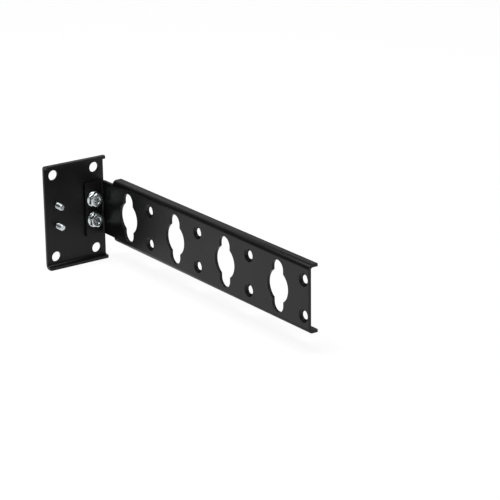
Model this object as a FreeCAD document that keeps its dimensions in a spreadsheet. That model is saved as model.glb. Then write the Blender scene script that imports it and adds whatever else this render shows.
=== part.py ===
import FreeCAD, Part
import os
import Sketcher

# PDU mounting bracket for a rack post.
# Origin: centre of the ear's four bolt holes, on the face that meets the post.
# +X runs along the arm, +Y from the ear's free side to the arm, +Z up.
# All sizes are in millimetres.

SIZES = [
    ("sheet_thickness", 2.0, "steel sheet of the ear and of the arm"),
    ("bend_inner_radius", 1.1, "inside of every fold"),
    ("ear_width", 46.0, "ear across the post"),
    ("ear_height", 72.6, "ear over its folded lips"),
    ("ear_lip_depth", 6.2, "lips from the mounting face to their edge"),
    ("ear_lip_corner", 1.2, "rounding of the lips' free corners"),
    ("ear_hole_diameter", 7.0, "bolt holes of the ear"),
    ("ear_hole_across", 31.75, "bolt spacing across the post"),
    ("ear_hole_up", 57.15, "bolt spacing up the post"),
    ("arm_length", 234.2, "mounting face to the arm's free end"),
    ("arm_height", 43.7, "arm over its flanges"),
    ("arm_flange_depth", 7.0, "flanges from the arm's front face"),
    ("neck_end", 16.7, "mounting face to the start of the flanges"),
    ("neck_height", 37.4, "neck and tab, which have no flanges"),
    ("tab_width", 15.8, "tab from the arm's back face to its edge"),
    ("tab_hole_diameter", 4.6, "clearance holes for the studs in the tab"),
    ("keyhole_first", 35.56, "mounting face to the first keyhole"),
    ("keyhole_pitch", 55.88, "spacing of the keyholes"),
    ("keyhole_round", 20.9, "round middle of a keyhole"),
    ("keyhole_slot", 11.0, "width of a keyhole's slots"),
    ("keyhole_height", 33.7, "keyhole over both slot ends"),
    ("screw_offset", 25.7, "keyhole to the screw holes beyond it"),
    ("screw_end_margin", 4.5, "least distance from a screw hole to the free end"),
    ("screw_spacing", 22.8, "screw holes of a pair, up and down"),
    ("screw_hole_diameter", 5.2, "screw holes"),
    ("screw_sink_diameter", 8.9, "countersinks of the screw holes"),
    ("screw_sink_angle", 100.0, "countersink angle in degrees"),
    ("stud_diameter", 4.16, "threaded shank of a stud"),
    ("stud_length", 8.0, "stud over its flush head"),
    ("stud_head_diameter", 6.4, "flush head of a stud"),
    ("stud_head_height", 1.0, "flush head's height inside the sheet"),
    ("stud_chamfer", 0.5, "lead-in at a stud's tip"),
    ("stud_across", 27.0, "stud spacing across the ear"),
    ("stud_up", 14.3, "stud spacing up the ear"),
    ("clinch_clearance", 0.02, "all round between a stud and the ear"),
    ("nut_flats", 8.73, "nut across its flats"),
    ("nut_flange_diameter", 10.9, "flange of a nut"),
    ("nut_flange_edge", 0.8, "thickness of the flange's rim"),
    ("nut_flange_rise", 0.6, "height of the cone from the rim to the flats"),
    ("nut_height", 4.6, "nut over its flange"),
    ("nut_chamfer", 0.6, "rounding height of the hexagon's corners"),
    ("thread_clearance", 0.05, "all round between a nut and its stud"),
]

doc = FreeCAD.newDocument("pdu_mounting_bracket")
sheet = doc.addObject("Spreadsheet::Sheet", "sizes")
for row, (alias, value, note) in enumerate(SIZES, start=1):
    sheet.set("A%d" % row, alias)
    sheet.set("B%d" % row, str(value))
    sheet.set("C%d" % row, note)
    sheet.setAlias("B%d" % row, alias)
doc.recompute()


def size(alias):
    return float(sheet.get(alias))


def plane_of(body, role):
    for feature in body.Origin.OriginFeatures:
        if feature.Role == role:
            return feature


def new_body(label):
    body = doc.addObject("PartDesign::Body", label)
    body.Label = label
    return body


def new_sketch(body, name, role, offsets=()):
    """A sketch on one of the body's own planes, moved by bound offsets."""
    sketch = body.newObject("Sketcher::SketchObject", name)
    sketch.AttachmentSupport = [(plane_of(body, role), "")]
    sketch.MapMode = "FlatFace"
    for axis, expression in offsets:
        sketch.setExpression("AttachmentOffset.Base." + axis, expression)
    doc.recompute()
    return sketch


def bound(sketch, name, constraint, expression):
    """Adds a dimension and binds it to the sheet."""
    index = sketch.addConstraint(constraint)
    sketch.renameConstraint(index, name)
    sketch.setExpression("Constraints." + name, expression)


def outline(sketch, points):
    """Closed outline of level and upright lines through the points."""
    count = len(points)
    for i in range(count):
        start = FreeCAD.Vector(*points[i], 0)
        end = FreeCAD.Vector(*points[(i + 1) % count], 0)
        sketch.addGeometry(Part.LineSegment(start, end), False)
    for i in range(count):
        after = (i + 1) % count
        sketch.addConstraint(Sketcher.Constraint("Coincident", i, 2, after, 1))
        level = points[i][1] == points[after][1]
        sketch.addConstraint(Sketcher.Constraint("Horizontal" if level else "Vertical", i))


def circle(sketch, name, x, y, diameter, across, up, width):
    """A circle whose centre and diameter are bound; x and y may be negative."""
    index = sketch.addGeometry(
        Part.Circle(FreeCAD.Vector(x, y, 0), FreeCAD.Vector(0, 0, 1), diameter / 2), False)
    bound(sketch, name + "_width", Sketcher.Constraint("Diameter", index, diameter), width)
    ends = (-1, 1, index, 3) if x > 0 else (index, 3, -1, 1)
    bound(sketch, name + "_across", Sketcher.Constraint("DistanceX", *ends, abs(x)), across)
    if y == 0:
        sketch.addConstraint(Sketcher.Constraint("PointOnObject", index, 3, -1))
        return
    ends = (-1, 1, index, 3) if y > 0 else (index, 3, -1, 1)
    bound(sketch, name + "_up", Sketcher.Constraint("DistanceY", *ends, abs(y)), up)


def channel_section(sketch, depth, height):
    """A sheet folded to a channel: web on the sketch's upright axis, lips to its right."""
    thick = size("sheet_thickness")
    out = size(depth)
    half = size(height) / 2
    outline(sketch, [(0, -half), (out, -half), (out, thick - half), (thick, thick - half),
                     (thick, half - thick), (out, half - thick), (out, half), (0, half)])
    sketch.addConstraint(Sketcher.Constraint("PointOnObject", 0, 1, -2))
    bound(sketch, "half_down", Sketcher.Constraint("DistanceY", 0, 1, -1, 1, half), "sizes.%s / 2" % height)
    bound(sketch, "half_up", Sketcher.Constraint("DistanceY", -1, 1, 6, 2, half), "sizes.%s / 2" % height)
    bound(sketch, "lower_depth", Sketcher.Constraint("DistanceX", 0, 1, 0, 2, out), "sizes.%s" % depth)
    bound(sketch, "upper_depth", Sketcher.Constraint("DistanceX", 6, 2, 6, 1, out), "sizes.%s" % depth)
    bound(sketch, "lower_lip", Sketcher.Constraint("DistanceY", 1, 1, 1, 2, thick), "sizes.sheet_thickness")
    bound(sketch, "upper_lip", Sketcher.Constraint("DistanceY", 5, 1, 5, 2, thick), "sizes.sheet_thickness")
    bound(sketch, "web", Sketcher.Constraint("DistanceX", -1, 1, 3, 1, thick), "sizes.sheet_thickness")


def pad(body, name, sketch, length, both_ways=False):
    feature = body.newObject("PartDesign::Pad", name)
    feature.Profile = sketch
    if both_ways:
        feature.SideType = "Symmetric"
    feature.setExpression("Length", length)
    doc.recompute()
    return feature


def pocket(body, name, sketch, length=None, reverse=False):
    """Cuts through the whole body both ways, or to a bound length."""
    before = body.Shape.Volume
    feature = body.newObject("PartDesign::Pocket", name)
    feature.Profile = sketch
    feature.Reversed = reverse
    if length is None:
        feature.SideType = "Symmetric"
        feature.Type = "ThroughAll"
    else:
        feature.setExpression("Length", length)
    doc.recompute()
    if not feature.Shape.Volume < before - 1e-3:
        raise ValueError(name + " removes nothing")
    return feature


def fillet(body, name, wanted, radius):
    """Rounds the edges whose ends and middle lie where wanted(point) says."""
    base = body.Tip
    edges = []
    for number, edge in enumerate(base.Shape.Edges, start=1):
        points = [vertex.Point for vertex in edge.Vertexes] + [edge.CenterOfMass]
        if all(wanted(point) for point in points):
            edges.append("Edge%d" % number)
    if not edges:
        raise ValueError(name + " finds no edge")
    feature = body.newObject("PartDesign::Fillet", name)
    feature.Base = (base, edges)
    feature.setExpression("Radius", radius)
    doc.recompute()
    return feature


def near(a, b):
    return abs(a - b) < 1e-4


thickness = size("sheet_thickness")
OUTER_BEND = "sizes.bend_inner_radius + sizes.sheet_thickness"
INNER_BEND = "sizes.bend_inner_radius"

# Ear plate
ear = new_body("ear_plate")
section = new_sketch(ear, "ear_section", "XZ_Plane")
channel_section(section, "ear_lip_depth", "ear_height")
pad(ear, "ear_sheet", section, "sizes.ear_width", both_ways=True)
half_ear = size("ear_height") / 2
fillet(ear, "ear_outer_folds", lambda p: near(p.x, 0) and near(abs(p.z), half_ear), OUTER_BEND)
fillet(ear, "ear_inner_folds",
       lambda p: near(p.x, thickness) and near(abs(p.z), half_ear - thickness), INNER_BEND)
lip_edge = size("ear_lip_depth")
side = size("ear_width") / 2


def lip_corners(upper):
    """Upright corner edges of one lip, top and bottom ends both on the lip."""
    return lambda p: near(p.x, lip_edge) and near(abs(p.y), side) and p.z * upper > half_ear - 1.5 * thickness


for upper, name in ((1, "top_lip_corners"), (-1, "bottom_lip_corners")):
    fillet(ear, name, lip_corners(upper), "sizes.ear_lip_corner")

bolts = new_sketch(ear, "bolt_holes", "YZ_Plane")
bolt_y = size("ear_hole_across") / 2
bolt_z = size("ear_hole_up") / 2
for number, (y, z) in enumerate(((1, 1), (-1, 1), (-1, -1), (1, -1)), start=1):
    circle(bolts, "bolt_%d" % number, y * bolt_y, z * bolt_z, size("ear_hole_diameter"),
           "sizes.ear_hole_across / 2", "sizes.ear_hole_up / 2", "sizes.ear_hole_diameter")
pocket(ear, "bolt_hole_cut", bolts)

stud_y = size("stud_across") / 2
stud_z = size("stud_up") / 2
corners = ((1, 1), (-1, 1), (-1, -1), (1, -1))
for name, alias, depth in (("stud_shank_holes", "stud_diameter", None),
                           ("stud_head_seats", "stud_head_diameter",
                            "sizes.stud_head_height + sizes.clinch_clearance")):
    holes = new_sketch(ear, name, "YZ_Plane")
    for number, (y, z) in enumerate(corners, start=1):
        circle(holes, "stud_%d" % number, y * stud_y, z * stud_z,
               size(alias) + 2 * size("clinch_clearance"), "sizes.stud_across / 2",
               "sizes.stud_up / 2", "sizes.%s + 2 * sizes.clinch_clearance" % alias)
    pocket(ear, name + "_cut", holes, depth, reverse=depth is not None)

# Channel arm
arm = new_body("channel_arm")
ARM_FRONT = "sizes.ear_width / 2 - sizes.sheet_thickness"
front = side - thickness
section = new_sketch(arm, "arm_section", "YZ_Plane", (("x", ARM_FRONT), ("z", "sizes.neck_end")))
channel_section(section, "arm_flange_depth", "arm_height")
pad(arm, "arm_channel", section, "sizes.arm_length - sizes.neck_end")
half_arm = size("arm_height") / 2
fillet(arm, "arm_outer_folds", lambda p: near(p.y, front) and near(abs(p.z), half_arm), OUTER_BEND)
fillet(arm, "arm_inner_folds",
       lambda p: near(p.y, side) and near(abs(p.z), half_arm - thickness), INNER_BEND)

neck = new_sketch(arm, "neck_and_tab", "XY_Plane")
neck_x = size("neck_end")
tab_y = side - size("tab_width")
outline(neck, [(thickness, tab_y), (2 * thickness, tab_y), (2 * thickness, front),
               (neck_x, front), (neck_x, side), (thickness, side)])
bound(neck, "ear_face", Sketcher.Constraint("DistanceX", -1, 1, 0, 1, thickness), "sizes.sheet_thickness")
bound(neck, "tab_sheet", Sketcher.Constraint("DistanceX", 0, 1, 0, 2, thickness), "sizes.sheet_thickness")
bound(neck, "neck_sheet", Sketcher.Constraint("DistanceY", 3, 1, 3, 2, thickness), "sizes.sheet_thickness")
bound(neck, "back_face", Sketcher.Constraint("DistanceY", -1, 1, 4, 2, side), "sizes.ear_width / 2")
bound(neck, "tab_width", Sketcher.Constraint("DistanceY", 0, 1, 4, 2, side - tab_y), "sizes.tab_width")
bound(neck, "neck_end", Sketcher.Constraint("DistanceX", -1, 1, 3, 1, neck_x), "sizes.neck_end")
pad(arm, "arm_neck", neck, "sizes.neck_height", both_ways=True)
fillet(arm, "neck_outer_fold", lambda p: near(p.x, thickness) and near(p.y, side), OUTER_BEND)
fillet(arm, "neck_inner_fold", lambda p: near(p.x, 2 * thickness) and near(p.y, front), INNER_BEND)

tab_holes = new_sketch(arm, "tab_holes", "YZ_Plane", (("z", "2 * sizes.sheet_thickness"),))
for number, z in enumerate((1, -1), start=1):
    circle(tab_holes, "stud_%d" % number, stud_y, z * stud_z, size("tab_hole_diameter"),
           "sizes.stud_across / 2", "sizes.stud_up / 2", "sizes.tab_hole_diameter")
pocket(arm, "tab_hole_cut", tab_holes, "sizes.sheet_thickness")

first = size("keyhole_first")
round_cut = new_sketch(arm, "keyhole_round", "XZ_Plane", (("z", "-(%s)" % ARM_FRONT),))
circle(round_cut, "middle", first, 0, size("keyhole_round"),
       "sizes.keyhole_first", "0", "sizes.keyhole_round")
round_pocket = pocket(arm, "keyhole_round_cut", round_cut, "sizes.sheet_thickness")

slot = new_sketch(arm, "keyhole_slots", "XZ_Plane", (("z", "-(%s)" % ARM_FRONT),))
slot_half = size("keyhole_slot") / 2
slot_end = size("keyhole_height") / 2 - slot_half
up = FreeCAD.Vector(0, 0, 1)
slot.addGeometry(Part.LineSegment(FreeCAD.Vector(first + slot_half, -slot_end, 0),
                                  FreeCAD.Vector(first + slot_half, slot_end, 0)), False)
slot.addGeometry(Part.ArcOfCircle(Part.Circle(FreeCAD.Vector(first, slot_end, 0), up, slot_half),
                                  0, 3.141592653589793), False)
slot.addGeometry(Part.LineSegment(FreeCAD.Vector(first - slot_half, slot_end, 0),
                                  FreeCAD.Vector(first - slot_half, -slot_end, 0)), False)
slot.addGeometry(Part.ArcOfCircle(Part.Circle(FreeCAD.Vector(first, -slot_end, 0), up, slot_half),
                                  3.141592653589793, 6.283185307179586), False)
for i, a, j, b in ((0, 2, 1, 1), (1, 2, 2, 1), (2, 2, 3, 1), (3, 2, 0, 1)):
    slot.addConstraint(Sketcher.Constraint("Tangent", i, a, j, b))
slot.addConstraint(Sketcher.Constraint("Vertical", 0))
bound(slot, "end_radius", Sketcher.Constraint("Radius", 1, slot_half), "sizes.keyhole_slot / 2")
bound(slot, "place", Sketcher.Constraint("DistanceX", -1, 1, 1, 3, first), "sizes.keyhole_first")
bound(slot, "end_up", Sketcher.Constraint("DistanceY", -1, 1, 1, 3, slot_end),
      "sizes.keyhole_height / 2 - sizes.keyhole_slot / 2")
bound(slot, "end_down", Sketcher.Constraint("DistanceY", 3, 3, -1, 1, slot_end),
      "sizes.keyhole_height / 2 - sizes.keyhole_slot / 2")
slot_pocket = pocket(arm, "keyhole_slot_cut", slot, "sizes.sheet_thickness")

screws = new_sketch(arm, "screw_holes", "XZ_Plane", (("z", "-(%s)" % ARM_FRONT),))
screw_x = first + size("screw_offset")
screw_z = size("screw_spacing") / 2
for number, z in enumerate((1, -1), start=1):
    circle(screws, "screw_%d" % number, screw_x, z * screw_z, size("screw_hole_diameter"),
           "sizes.keyhole_first + sizes.screw_offset", "sizes.screw_spacing / 2",
           "sizes.screw_hole_diameter")
doc.recompute()
screw_holes = arm.newObject("PartDesign::Hole", "screw_hole_cut")
screw_holes.Profile = screws
doc.recompute()
screw_holes.Threaded = False
screw_holes.ThreadType = "None"
screw_holes.DepthType = "Dimension"
screw_holes.HoleCutType = "Countersink"
screw_holes.DrillPoint = "Flat"
screw_holes.setExpression("Diameter", "sizes.screw_hole_diameter")
screw_holes.setExpression("Depth", "sizes.sheet_thickness")
screw_holes.setExpression("HoleCutDiameter", "sizes.screw_sink_diameter")
screw_holes.setExpression("HoleCutCountersinkAngle", "sizes.screw_sink_angle")
doc.recompute()

row = arm.newObject("PartDesign::LinearPattern", "keyhole_row")
row.Originals = [round_pocket, slot_pocket, screw_holes]
row.Direction = (plane_of(arm, "X_Axis"), [""])
row.Mode = "Spacing"
room = "sizes.arm_length - sizes.keyhole_first - sizes.screw_offset - sizes.screw_end_margin"
row.setExpression("Occurrences", "floor((%s) / sizes.keyhole_pitch) + 1" % room)
row.setExpression("Offset", "sizes.keyhole_pitch")
arm.Tip = row
doc.recompute()

# Clinch studs
stud = new_body("clinch_stud")
turned = new_sketch(stud, "stud_profile", "XY_Plane")
shank = size("stud_diameter") / 2
head = size("stud_head_diameter") / 2
head_x = size("stud_head_height")
tip_x = size("stud_length")
bevel = size("stud_chamfer")
profile = [(0, 0), (0, head), (head_x, head), (head_x, shank), (tip_x - bevel, shank),
           (tip_x, shank - bevel), (tip_x, 0)]
for i in range(7):
    turned.addGeometry(Part.LineSegment(FreeCAD.Vector(*profile[i], 0),
                                        FreeCAD.Vector(*profile[(i + 1) % 7], 0)), False)
for i in range(7):
    turned.addConstraint(Sketcher.Constraint("Coincident", i, 2, (i + 1) % 7, 1))
for i in (0, 2, 5):
    turned.addConstraint(Sketcher.Constraint("Vertical", i))
for i in (1, 3, 6):
    turned.addConstraint(Sketcher.Constraint("Horizontal", i))
turned.addConstraint(Sketcher.Constraint("Coincident", 0, 1, -1, 1))
bound(turned, "head_radius", Sketcher.Constraint("DistanceY", 0, 1, 0, 2, head), "sizes.stud_head_diameter / 2")
bound(turned, "head_height", Sketcher.Constraint("DistanceX", 1, 1, 1, 2, head_x), "sizes.stud_head_height")
bound(turned, "shank_radius", Sketcher.Constraint("DistanceY", -1, 1, 3, 1, shank), "sizes.stud_diameter / 2")
bound(turned, "length", Sketcher.Constraint("DistanceX", -1, 1, 5, 2, tip_x), "sizes.stud_length")
bound(turned, "bevel_length", Sketcher.Constraint("DistanceX", 4, 1, 4, 2, bevel), "sizes.stud_chamfer")
bound(turned, "bevel_height", Sketcher.Constraint("DistanceY", 4, 2, 4, 1, bevel), "sizes.stud_chamfer")
turning = stud.newObject("PartDesign::Revolution", "stud_turning")
turning.Profile = turned
turning.ReferenceAxis = (plane_of(stud, "X_Axis"), [""])
turning.Angle = 360.0
stud.setExpression("Placement.Base.y", "sizes.stud_across / 2")
stud.setExpression("Placement.Base.z", "sizes.stud_up / 2")
doc.recompute()

# Flange nuts
nut = new_body("flange_nut")
hexagon = new_sketch(nut, "nut_hexagon", "YZ_Plane")
flats = size("nut_flats")
reach = flats / 3 ** 0.5
ring = [(flats / 2, -reach / 2), (flats / 2, reach / 2), (0, reach),
        (-flats / 2, reach / 2), (-flats / 2, -reach / 2), (0, -reach)]
for i in range(6):
    hexagon.addGeometry(Part.LineSegment(FreeCAD.Vector(*ring[i], 0),
                                         FreeCAD.Vector(*ring[(i + 1) % 6], 0)), False)
rim = hexagon.addGeometry(Part.Circle(FreeCAD.Vector(0, 0, 0), up, reach), True)
for i in range(6):
    hexagon.addConstraint(Sketcher.Constraint("Coincident", i, 2, (i + 1) % 6, 1))
    hexagon.addConstraint(Sketcher.Constraint("PointOnObject", i, 1, rim))
for i in range(1, 6):
    hexagon.addConstraint(Sketcher.Constraint("Equal", 0, i))
hexagon.addConstraint(Sketcher.Constraint("Coincident", rim, 3, -1, 1))
hexagon.addConstraint(Sketcher.Constraint("Vertical", 0))
bound(hexagon, "flats", Sketcher.Constraint("DistanceX", 3, 1, 0, 2, flats), "sizes.nut_flats")
pad(nut, "nut_prism", hexagon, "sizes.nut_height")

flange = new_sketch(nut, "nut_flange", "XY_Plane")
rim_r = size("nut_flange_diameter") / 2
rim_x = size("nut_flange_edge")
cone_x = rim_x + size("nut_flange_rise")
cone = [(0, 0), (0, rim_r), (rim_x, rim_r), (cone_x, flats / 2), (cone_x, 0)]
for i in range(5):
    flange.addGeometry(Part.LineSegment(FreeCAD.Vector(*cone[i], 0),
                                        FreeCAD.Vector(*cone[(i + 1) % 5], 0)), False)
for i in range(5):
    flange.addConstraint(Sketcher.Constraint("Coincident", i, 2, (i + 1) % 5, 1))
for i in (0, 3):
    flange.addConstraint(Sketcher.Constraint("Vertical", i))
for i in (1, 4):
    flange.addConstraint(Sketcher.Constraint("Horizontal", i))
flange.addConstraint(Sketcher.Constraint("Coincident", 0, 1, -1, 1))
bound(flange, "rim_radius", Sketcher.Constraint("DistanceY", 0, 1, 0, 2, rim_r), "sizes.nut_flange_diameter / 2")
bound(flange, "rim_edge", Sketcher.Constraint("DistanceX", 1, 1, 1, 2, rim_x), "sizes.nut_flange_edge")
bound(flange, "cone_top", Sketcher.Constraint("DistanceY", -1, 1, 2, 2, flats / 2), "sizes.nut_flats / 2")
bound(flange, "cone_height", Sketcher.Constraint("DistanceX", -1, 1, 2, 2, cone_x),
      "sizes.nut_flange_edge + sizes.nut_flange_rise")
collar = nut.newObject("PartDesign::Revolution", "nut_collar")
collar.Profile = flange
collar.ReferenceAxis = (plane_of(nut, "X_Axis"), [""])
collar.Angle = 360.0
doc.recompute()

crown = new_sketch(nut, "nut_crown", "XY_Plane")
top_x = size("nut_height")
drop = size("nut_chamfer")
fall = 3 ** 0.5 * drop
wedge = [(top_x, flats / 2), (top_x, flats / 2 + fall), (top_x - drop, flats / 2 + fall)]
for i in range(3):
    crown.addGeometry(Part.LineSegment(FreeCAD.Vector(*wedge[i], 0),
                                       FreeCAD.Vector(*wedge[(i + 1) % 3], 0)), False)
for i in range(3):
    crown.addConstraint(Sketcher.Constraint("Coincident", i, 2, (i + 1) % 3, 1))
crown.addConstraint(Sketcher.Constraint("Vertical", 0))
crown.addConstraint(Sketcher.Constraint("Horizontal", 1))
bound(crown, "crown_radius", Sketcher.Constraint("DistanceY", -1, 1, 0, 1, flats / 2), "sizes.nut_flats / 2")
bound(crown, "crown_place", Sketcher.Constraint("DistanceX", -1, 1, 0, 1, top_x), "sizes.nut_height")
bound(crown, "crown_drop", Sketcher.Constraint("DistanceX", 1, 2, 1, 1, drop), "sizes.nut_chamfer")
bound(crown, "crown_fall", Sketcher.Constraint("DistanceY", 0, 1, 0, 2, fall), "1.7320508 * sizes.nut_chamfer")
chamfer = nut.newObject("PartDesign::Groove", "nut_crown_cut")
chamfer.Profile = crown
chamfer.ReferenceAxis = (plane_of(nut, "X_Axis"), [""])
chamfer.Angle = 360.0
doc.recompute()

bore = new_sketch(nut, "nut_bore", "YZ_Plane")
bore_circle = bore.addGeometry(Part.Circle(FreeCAD.Vector(0, 0, 0), up,
                                           shank + size("thread_clearance")), False)
bore.addConstraint(Sketcher.Constraint("Coincident", bore_circle, 3, -1, 1))
bound(bore, "bore_width", Sketcher.Constraint("Diameter", bore_circle, 2 * shank + 2 * size("thread_clearance")),
      "sizes.stud_diameter + 2 * sizes.thread_clearance")
pocket(nut, "nut_bore_cut", bore)
nut.setExpression("Placement.Base.x", "2 * sizes.sheet_thickness")
nut.setExpression("Placement.Base.y", "sizes.stud_across / 2")
nut.setExpression("Placement.Base.z", "sizes.stud_up / 2")
doc.recompute()


def mirrored(source, label, normal):
    copy = doc.addObject("Part::Mirroring", label)
    copy.Source = source
    copy.Base = FreeCAD.Vector(0, 0, 0)
    copy.Normal = normal
    return copy


def group(label, members):
    compound = doc.addObject("Part::Compound", label)
    compound.Label = label
    compound.Links = members
    return compound


ACROSS = FreeCAD.Vector(0, 1, 0)
UP = FreeCAD.Vector(0, 0, 1)
lower_stud = mirrored(stud, "lower_stud", UP)
spare_stud = mirrored(stud, "spare_stud", ACROSS)
lower_spare_stud = mirrored(lower_stud, "lower_spare_stud", ACROSS)
studs = group("clinch_studs", [stud, lower_stud, spare_stud, lower_spare_stud])
lower_nut = mirrored(nut, "lower_nut", UP)
nuts = group("flange_nuts", [nut, lower_nut])
doc.recompute()

# Check and write each node
for item in doc.Objects:
    if "Invalid" in item.State or "Error" in item.State:
        raise ValueError(item.Label + " did not build")

os.makedirs("parts", exist_ok=True)
for node, solids in ((ear, 1), (arm, 1), (studs, 4), (nuts, 2)):
    shape = node.Shape
    if shape.isNull() or not shape.isValid() or len(shape.Solids) != solids:
        raise ValueError(node.Label + " is not sound")
    shape.exportStep("parts/%s.step" % node.Label)
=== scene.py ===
import math

import bmesh
import bpy
from mathutils import Matrix, Vector


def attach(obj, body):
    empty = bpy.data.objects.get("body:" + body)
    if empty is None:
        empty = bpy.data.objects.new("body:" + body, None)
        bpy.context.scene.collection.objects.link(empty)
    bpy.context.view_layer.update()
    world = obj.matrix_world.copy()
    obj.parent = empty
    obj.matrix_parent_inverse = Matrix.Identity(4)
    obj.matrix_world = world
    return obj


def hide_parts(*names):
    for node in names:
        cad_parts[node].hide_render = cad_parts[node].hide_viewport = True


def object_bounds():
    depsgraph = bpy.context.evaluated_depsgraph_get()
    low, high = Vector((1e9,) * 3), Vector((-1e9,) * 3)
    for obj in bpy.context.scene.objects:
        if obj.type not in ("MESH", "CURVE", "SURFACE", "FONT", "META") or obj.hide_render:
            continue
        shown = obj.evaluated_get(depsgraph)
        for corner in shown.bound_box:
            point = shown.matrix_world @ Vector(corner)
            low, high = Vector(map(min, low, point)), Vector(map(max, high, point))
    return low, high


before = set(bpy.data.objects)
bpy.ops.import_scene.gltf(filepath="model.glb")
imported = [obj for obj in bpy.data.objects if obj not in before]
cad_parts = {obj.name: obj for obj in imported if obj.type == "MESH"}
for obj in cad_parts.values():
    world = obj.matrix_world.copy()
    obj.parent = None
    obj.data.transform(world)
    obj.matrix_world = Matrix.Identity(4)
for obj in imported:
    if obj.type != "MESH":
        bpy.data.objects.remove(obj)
cad_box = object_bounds()
scene = bpy.context.scene
scene.view_settings.view_transform = "Standard"

MM = 0.001
FLOOR_Z = cad_box[0].z

# Fasteners in millimetres: the sizes of the solids
STUD_Y, STUD_Z = 13.5, 7.15
STUD_R, STUD_TIP, STUD_CHAMFER = 2.08, 8.0, 0.5
HEAD_R, HEAD_HEIGHT = 3.2, 1.0
NUT_BASE, NUT_TOP, NUT_FLAT = 4.0, 8.6, 4.365
FLANGE_R, FLANGE_EDGE, FLANGE_RISE = 5.45, 0.8, 0.6
BORE_R = 2.13

# Fasteners in millimetres: fine detail that the solids leave out
HEAD_EDGE = 0.1
THREAD_PITCH = 25.4 / 32
THREAD_DEPTH = 0.6 * THREAD_PITCH
THREAD_START, THREAD_FULL = 2.0, 2.7
FLANGE_ROUND, CROWN_R = 0.12, 3.9
BORE_SINK_R, BORE_SINK = 2.5, 0.35

# One turn of the thread: place along the pitch and share of the depth
TURN = ((0.0, 0.0), (0.11, 0.0), (0.24, 0.5), (0.37, 1.0), (0.62, 1.0), (0.75, 0.5), (0.88, 0.0))
STUD_COLUMNS, NUT_COLUMNS = 48, 96

# Turns of the studs and nuts about their axes, in radians
STUD_TURNS = (0.0, 1.1, 2.4, 4.0)
NUT_TURNS = (0.0, math.radians(9))

# Edges and joins: lengths in millimetres, angles in degrees
WELD_GAP, FLAT_ANGLE = 0.001, 0.5
SHEET_SOFT, SHEET_SOFT_ANGLE = 0.12, 40
NUT_SOFT, SHARP_ANGLE = 0.06, 28
JOIN_GAP, SAME_PLACE = 1e-5, 1e-4

# Coat: base colours, roughness, noises as scale and detail, reliefs as height and strength
COAT_DARK, COAT_LIGHT = (0.0030, 0.0030, 0.0032), (0.0044, 0.0044, 0.0046)
# The edge colour is lighter than the flats: partly a thinner coat on the edges, partly a painted
# highlight
COAT_THIN_EDGE_AND_HIGHLIGHT, COAT_THIN_EDGE_AND_HIGHLIGHT_WIDTH, COAT_THIN_EDGE_AND_HIGHLIGHT_SHARE = (0.014, 0.014, 0.0143), 0.4 * MM, 0.4
COAT_ROUGHNESS, COAT_SPECULAR = (0.33, 0.40), 0.23
COAT_CLOUDS, COAT_PEEL, COAT_GRAIN = (45.0, 3.0), (1500.0, 2.0), (6500.0, 1.0)
COAT_PEEL_RELIEF, COAT_GRAIN_RELIEF = (0.03 * MM, 0.5), (0.008 * MM, 0.5)

# Zinc: the same
ZINC_DARK, ZINC_LIGHT = (0.61, 0.65, 0.66), (0.70, 0.75, 0.76)
ZINC_ROUGHNESS = (0.20, 0.30)
ZINC_CLOUDS, ZINC_GRAIN = (400.0, 3.0), (4000.0, 2.0)
ZINC_GRAIN_RELIEF = (0.01 * MM, 0.4)

# Ranges: a whole share, the middle of a noise, and the cosines from a flat to an edge
WHOLE, NOISE_MIDDLE, EDGE_COSINES = (0.0, 1.0), (0.3, 0.7), (0.995, 0.8)
EDGE_SAMPLES = 6

# Studio
FLOOR_REACH, FLOOR_GREY, FLOOR_WHITE_SHARE = 6.0, 0.9, 0.85
STUDIO_STRENGTH = 0.1


def node_tree(material):
    material.use_nodes = True
    return material.node_tree.nodes, material.node_tree.links


def add_noise(nodes, links, coords, scale, detail):
    noise = nodes.new("ShaderNodeTexNoise")
    noise.inputs["Scale"].default_value = scale
    noise.inputs["Detail"].default_value = detail
    links.new(coords, noise.inputs["Vector"])
    return noise.outputs["Fac"]


def add_range(nodes, links, value, source, target):
    ramp = nodes.new("ShaderNodeMapRange")
    ramp.inputs["From Min"].default_value, ramp.inputs["From Max"].default_value = source
    ramp.inputs["To Min"].default_value, ramp.inputs["To Max"].default_value = target
    links.new(value, ramp.inputs["Value"])
    return ramp.outputs["Result"]


def add_mix(nodes, links, factor, first, second):
    mix = nodes.new("ShaderNodeMix")
    mix.data_type = "RGBA"
    links.new(factor, mix.inputs["Factor"])
    for socket, value in ((mix.inputs[6], first), (mix.inputs[7], second)):
        if isinstance(value, tuple):
            socket.default_value = (*value, 1.0)
        else:
            links.new(value, socket)
    return mix.outputs[2]


def add_bump(nodes, links, height, distance, strength, under=None):
    bump = nodes.new("ShaderNodeBump")
    bump.inputs["Distance"].default_value = distance
    bump.inputs["Strength"].default_value = strength
    links.new(height, bump.inputs["Height"])
    if under is not None:
        links.new(under, bump.inputs["Normal"])
    return bump.outputs["Normal"]


def edge_mask(nodes, links, radius):
    """Rises from 0 on flats to 1 on outer and inner edges."""
    rounded = nodes.new("ShaderNodeBevel")
    rounded.samples = EDGE_SAMPLES
    rounded.inputs["Radius"].default_value = radius
    geometry = nodes.new("ShaderNodeNewGeometry")
    dot = nodes.new("ShaderNodeVectorMath")
    dot.operation = "DOT_PRODUCT"
    links.new(rounded.outputs["Normal"], dot.inputs[0])
    links.new(geometry.outputs["Normal"], dot.inputs[1])
    return add_range(nodes, links, dot.outputs["Value"], EDGE_COSINES, WHOLE)


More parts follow.
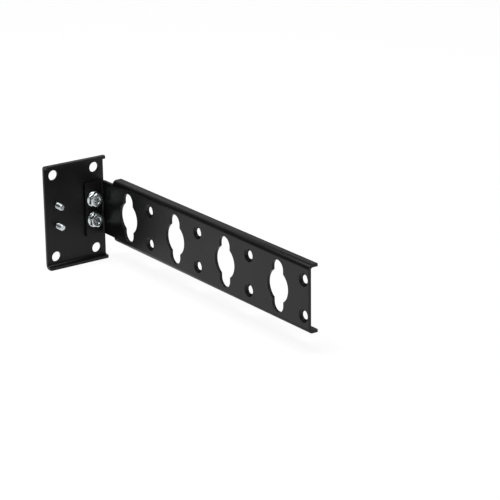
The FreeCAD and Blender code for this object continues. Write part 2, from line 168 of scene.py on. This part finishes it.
def powder_coat():
    material = bpy.data.materials.new("satin_black_coat")
    nodes, links = node_tree(material)
    shader = nodes["Principled BSDF"]
    coords = nodes.new("ShaderNodeTexCoord").outputs["Object"]
    clouds = add_noise(nodes, links, coords, *COAT_CLOUDS)
    peel = add_noise(nodes, links, coords, *COAT_PEEL)
    grain = add_noise(nodes, links, coords, *COAT_GRAIN)
    share = add_range(nodes, links, clouds, NOISE_MIDDLE, WHOLE)
    tone = add_mix(nodes, links, share, COAT_DARK, COAT_LIGHT)
    # Outer and inner edges are lightened: partly a thinner coat there, partly a painted highlight
    mask = edge_mask(nodes, links, COAT_THIN_EDGE_AND_HIGHLIGHT_WIDTH)
    edges = add_range(nodes, links, mask, WHOLE, (0.0, COAT_THIN_EDGE_AND_HIGHLIGHT_SHARE))
    links.new(add_mix(nodes, links, edges, tone, COAT_THIN_EDGE_AND_HIGHLIGHT), shader.inputs["Base Color"])
    roughness = add_range(nodes, links, clouds, NOISE_MIDDLE, COAT_ROUGHNESS)
    links.new(roughness, shader.inputs["Roughness"])
    shader.inputs["Specular IOR Level"].default_value = COAT_SPECULAR
    relief = add_bump(nodes, links, peel, *COAT_PEEL_RELIEF)
    relief = add_bump(nodes, links, grain, *COAT_GRAIN_RELIEF, under=relief)
    links.new(relief, shader.inputs["Normal"])
    return material


def zinc_plate():
    material = bpy.data.materials.new("bright_zinc")
    nodes, links = node_tree(material)
    shader = nodes["Principled BSDF"]
    coords = nodes.new("ShaderNodeTexCoord").outputs["Object"]
    clouds = add_noise(nodes, links, coords, *ZINC_CLOUDS)
    grain = add_noise(nodes, links, coords, *ZINC_GRAIN)
    tone = add_mix(nodes, links, clouds, ZINC_DARK, ZINC_LIGHT)
    links.new(tone, shader.inputs["Base Color"])
    roughness = add_range(nodes, links, clouds, NOISE_MIDDLE, ZINC_ROUGHNESS)
    links.new(roughness, shader.inputs["Roughness"])
    shader.inputs["Metallic"].default_value = 1.0
    relief = add_bump(nodes, links, grain, *ZINC_GRAIN_RELIEF)
    links.new(relief, shader.inputs["Normal"])
    return material


coat = powder_coat()
zinc = zinc_plate()


def soften(piece, width, angle):
    """Rounds the edges of a piece that are sharper than the angle."""
    soft = piece.modifiers.new("soft_edges", "BEVEL")
    soft.width = width * MM
    soft.segments = 2
    soft.limit_method = "ANGLE"
    soft.angle_limit = math.radians(angle)
    soft.harden_normals = True
    return soft


# Folded sheets: the solids themselves, with softened edges and the coat
for name in ("ear_plate", "channel_arm"):
    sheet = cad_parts[name]
    sheet.material_slots[0].material = coat
    weld = sheet.modifiers.new("weld", "WELD")
    weld.merge_threshold = WELD_GAP * MM
    flats = sheet.modifiers.new("flats", "DECIMATE")
    flats.decimate_type = "DISSOLVE"
    flats.angle_limit = math.radians(FLAT_ANGLE)
    soft = soften(sheet, SHEET_SOFT, SHEET_SOFT_ANGLE)
    soft.use_clamp_overlap = False


def finish_piece(name, bm, turn, y, z, node, finishes):
    """Turns a bmesh in millimetres, with its axis on +X, into a piece that replaces a node."""
    bmesh.ops.remove_doubles(bm, verts=bm.verts, dist=JOIN_GAP)
    bmesh.ops.recalc_face_normals(bm, faces=bm.faces)
    sharp = math.radians(SHARP_ANGLE)
    for face in bm.faces:
        face.smooth = True
    for edge in bm.edges:
        edge.smooth = len(edge.link_faces) == 2 and edge.calc_face_angle() < sharp
    bm.transform(Matrix.Scale(MM, 4))
    mesh = bpy.data.meshes.new(name)
    bm.to_mesh(mesh)
    bm.free()
    for finish in finishes:
        mesh.materials.append(finish)
    piece = bpy.data.objects.new(name, mesh)
    scene.collection.objects.link(piece)
    place = Matrix.Translation((0, y * MM, z * MM))
    piece.matrix_world = place @ Matrix.Rotation(turn, 4, "X")
    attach(piece, "root")
    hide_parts(node)
    return piece


def extend(bm, loop, x, radius):
    """Carries a loop of vertex pairs on to a circle about the axis and gives the new loop."""
    made = {}
    for pair in loop:
        for vert in pair:
            if vert not in made:
                scale = radius / math.hypot(vert.co.y, vert.co.z)
                made[vert] = bm.verts.new((x, vert.co.y * scale, vert.co.z * scale))
    for a, b in loop:
        bm.faces.new((a, b, made[b], made[a]))
    return [(made[a], made[b]) for a, b in loop]


def close(bm, loop, x):
    """Closes a loop with a fan about the axis."""
    centre = bm.verts.new((x, 0, 0))
    for a, b in loop:
        bm.faces.new((a, b, centre))


def open_loop(bm, x):
    """The open edges that lie at x, as vertex pairs."""
    pairs = [tuple(edge.verts) for edge in bm.edges if edge.is_boundary]
    return [pair for pair in pairs if all(abs(vert.co.x - x) < SAME_PLACE for vert in pair)]


def thread_share(x):
    """How much of the thread's depth is cut at x: it runs out at the sheet."""
    share = min(max((x - THREAD_START) / (THREAD_FULL - THREAD_START), 0.0), 1.0)
    return share * share * (3 - 2 * share)


def threaded_stud(name, turn, y, z):
    """Rows wound along the thread, cut square at both ends, with the head carried on from one."""
    low = (HEAD_HEIGHT + THREAD_START) / 2
    before, after = 2, 1
    turns = before + math.ceil((STUD_TIP - low) / THREAD_PITCH) + after
    bm = bmesh.new()
    rows = []
    for k in range(turns):
        for place, share in TURN:
            row = []
            for j in range(STUD_COLUMNS):
                x = low + (k - before + place + j / STUD_COLUMNS) * THREAD_PITCH
                radius = STUD_R - share * THREAD_DEPTH * thread_share(x)
                radius = min(radius, STUD_R - max(0.0, x - STUD_TIP + STUD_CHAMFER))
                angle = 2 * math.pi * j / STUD_COLUMNS
                row.append(bm.verts.new((x, radius * math.cos(angle), radius * math.sin(angle))))
            rows.append(row)
    for k in range(len(rows) - 1):
        for j in range(STUD_COLUMNS - 1):
            bm.faces.new((rows[k][j], rows[k][j + 1], rows[k + 1][j + 1], rows[k + 1][j]))
    for k in range(len(rows) - 1 - len(TURN)):
        on = k + len(TURN)
        bm.faces.new((rows[k][-1], rows[on][0], rows[on + 1][0], rows[k + 1][-1]))
    for x, side in ((low, -1), (STUD_TIP, 1)):
        bmesh.ops.bisect_plane(bm, geom=bm.verts[:] + bm.edges[:] + bm.faces[:], dist=JOIN_GAP,
                               plane_co=(x, 0, 0), plane_no=(side, 0, 0), clear_outer=True)
    close(bm, open_loop(bm, STUD_TIP), STUD_TIP)
    head = ((HEAD_HEIGHT, STUD_R), (HEAD_HEIGHT, HEAD_R),
            (HEAD_EDGE, HEAD_R), (0, HEAD_R - HEAD_EDGE))
    loop = open_loop(bm, low)
    for x, radius in head:
        loop = extend(bm, loop, x, radius)
    close(bm, loop, 0)
    # The flush head is coated over with the ear, the thread stays bare
    coated = HEAD_EDGE + SAME_PLACE
    for face in bm.faces:
        face.material_index = int(all(vert.co.x < coated for vert in face.verts))
    finish_piece(name, bm, turn, y, z, "clinch_studs", (zinc, coat))


def flange_nut(name, turn, y, z):
    """Columns from the bearing face over the flange, the hexagon and its crown to the bore."""
    bm = bmesh.new()
    rim_x = NUT_BASE + FLANGE_EDGE
    cone = FLANGE_RISE / (FLANGE_R - NUT_FLAT)
    columns = []
    for i in range(NUT_COLUMNS):
        angle = 2 * math.pi * i / NUT_COLUMNS
        hexagon = NUT_FLAT / math.cos((angle + math.pi / 6) % (math.pi / 3) - math.pi / 6)
        column = (
            (NUT_BASE, BORE_R), (NUT_BASE, FLANGE_R - FLANGE_ROUND),
            (NUT_BASE + FLANGE_ROUND, FLANGE_R), (rim_x - FLANGE_ROUND, FLANGE_R),
            (rim_x + cone * FLANGE_ROUND, FLANGE_R - FLANGE_ROUND),
            (rim_x + cone * (FLANGE_R - hexagon), hexagon),
            (NUT_TOP - (hexagon - CROWN_R) / math.sqrt(3), hexagon), (NUT_TOP, CROWN_R),
            (NUT_TOP, BORE_SINK_R), (NUT_TOP - BORE_SINK, BORE_R),
        )
        columns.append([bm.verts.new((x, radius * math.cos(angle), radius * math.sin(angle)))
                        for x, radius in column])
    for i in range(NUT_COLUMNS):
        first, second = columns[i], columns[(i + 1) % NUT_COLUMNS]
        for k in range(len(first)):
            after = (k + 1) % len(first)
            bm.faces.new((first[k], first[after], second[after], second[k]))
    piece = finish_piece(name, bm, turn, y, z, "flange_nuts", (zinc,))
    soften(piece, NUT_SOFT, SHARP_ANGLE)


# The first two studs carry the nuts
places = ((STUD_Y, STUD_Z), (STUD_Y, -STUD_Z), (-STUD_Y, STUD_Z), (-STUD_Y, -STUD_Z))
for number, (turn, (y, z)) in enumerate(zip(STUD_TURNS, places), start=1):
    threaded_stud("stud_%d" % number, turn, y, z)
for number, (turn, (y, z)) in enumerate(zip(NUT_TURNS, places), start=1):
    flange_nut("nut_%d" % number, turn, y, z)


# Floor, seen as white and keeping a soft shadow
def floor_material():
    material = bpy.data.materials.new("pale_floor")
    nodes, links = node_tree(material)
    nodes.remove(nodes["Principled BSDF"])
    matt = nodes.new("ShaderNodeBsdfDiffuse")
    matt.inputs["Color"].default_value = (FLOOR_GREY, FLOOR_GREY, FLOOR_GREY, 1.0)
    white = nodes.new("ShaderNodeEmission")
    white.inputs["Strength"].default_value = 1.0
    path = nodes.new("ShaderNodeLightPath")
    seen = path.outputs["Is Camera Ray"]
    for kind in ("Is Glossy Ray", "Is Transmission Ray"):
        either = nodes.new("ShaderNodeMath")
        either.operation = "MAXIMUM"
        links.new(seen, either.inputs[0])
        links.new(path.outputs[kind], either.inputs[1])
        seen = either.outputs["Value"]
    mix = nodes.new("ShaderNodeMixShader")
    share = add_range(nodes, links, seen, WHOLE, (0.0, FLOOR_WHITE_SHARE))
    links.new(share, mix.inputs["Fac"])
    links.new(matt.outputs["BSDF"], mix.inputs[1])
    links.new(white.outputs["Emission"], mix.inputs[2])
    links.new(mix.outputs["Shader"], nodes["Material Output"].inputs["Surface"])
    return material


floor_mesh = bpy.data.meshes.new("floor")
floor_corners = [(x * FLOOR_REACH, y * FLOOR_REACH, FLOOR_Z)
                 for x, y in ((-1, -1), (1, -1), (1, 1), (-1, 1))]
floor_mesh.from_pydata(floor_corners, [], [(0, 1, 2, 3)])
floor_mesh.materials.append(floor_material())
floor = bpy.data.objects.new("floor", floor_mesh)
scene.collection.objects.link(floor)

# World: a dim, even studio
world = bpy.data.worlds.new("studio")
scene.world = world
world.use_nodes = True
studio = world.node_tree.nodes["Background"]
studio.inputs["Color"].default_value = (1.0, 1.0, 1.0, 1.0)
studio.inputs["Strength"].default_value = STUDIO_STRENGTH


def softbox(name, place, target, width, height, power):
    """A lamp with lengths in metres and its power in watts, hidden from the camera."""
    lamp = bpy.data.lights.new(name, "AREA")
    lamp.shape = "RECTANGLE"
    lamp.size, lamp.size_y = width, height
    lamp.energy = power
    box = bpy.data.objects.new(name, lamp)
    scene.collection.objects.link(box)
    box.location = place
    box.visible_camera = False
    box.rotation_mode = "QUATERNION"
    box.rotation_quaternion = (Vector(target) - Vector(place)).to_track_quat("-Z", "Y")


# Lamps, and two dim cards that show in the arm's top flange and along its fold
middle, fold = (0.11, 0.0, 0.0), (0.19, 0.02, 0.02)
softbox("top_box", (0.4, -0.2, 2.2), middle, 1.6, 1.6, 50.0)
softbox("key_box", (-0.1, -0.8, 1.9), middle, 0.5, 0.5, 15.0)
softbox("right_box", (1.2, 0.6, 0.8), middle, 0.9, 0.7, 4.5)
softbox("back_card", (-0.85, 0.62, 0.36), middle, 1.2, 0.6, 0.85)
softbox("fold_card", (-0.11, 0.09, 0.28), fold, 0.14, 0.14, 0.06)

# Camera: the photo's own view, solved from the hole centres
AZIMUTH, ELEVATION, ROLL = math.radians(54.55), math.radians(18.872), math.radians(0.671)
FOCAL_PIXELS, IMAGE_PIXELS, SENSOR = 2073.238, 500, 36.0
ORIGIN_IN_VIEW = Vector((-118.887, -26.174, 1398.894)) * MM
CLIP_START, CLIP_END = 0.05, 30.0
back = Vector((math.sin(AZIMUTH) * math.cos(ELEVATION),
               -math.cos(AZIMUTH) * math.cos(ELEVATION),
               math.sin(ELEVATION)))
right = (-back).cross(Vector((0, 0, 1))).normalized()
down = (-back).cross(right)
right, down = (math.cos(ROLL) * right + math.sin(ROLL) * down,
               math.cos(ROLL) * down - math.sin(ROLL) * right)
camera_data = bpy.data.cameras.new("camera")
camera_data.sensor_width = SENSOR
camera_data.lens = FOCAL_PIXELS * SENSOR / IMAGE_PIXELS
camera_data.clip_start, camera_data.clip_end = CLIP_START, CLIP_END
camera = bpy.data.objects.new("camera", camera_data)
scene.collection.objects.link(camera)
turned = Matrix((right, -down, back)).transposed()
location = -(right * ORIGIN_IN_VIEW.x + down * ORIGIN_IN_VIEW.y - back * ORIGIN_IN_VIEW.z)
camera.matrix_world = Matrix.Translation(location) @ turned.to_4x4()
scene.camera = camera
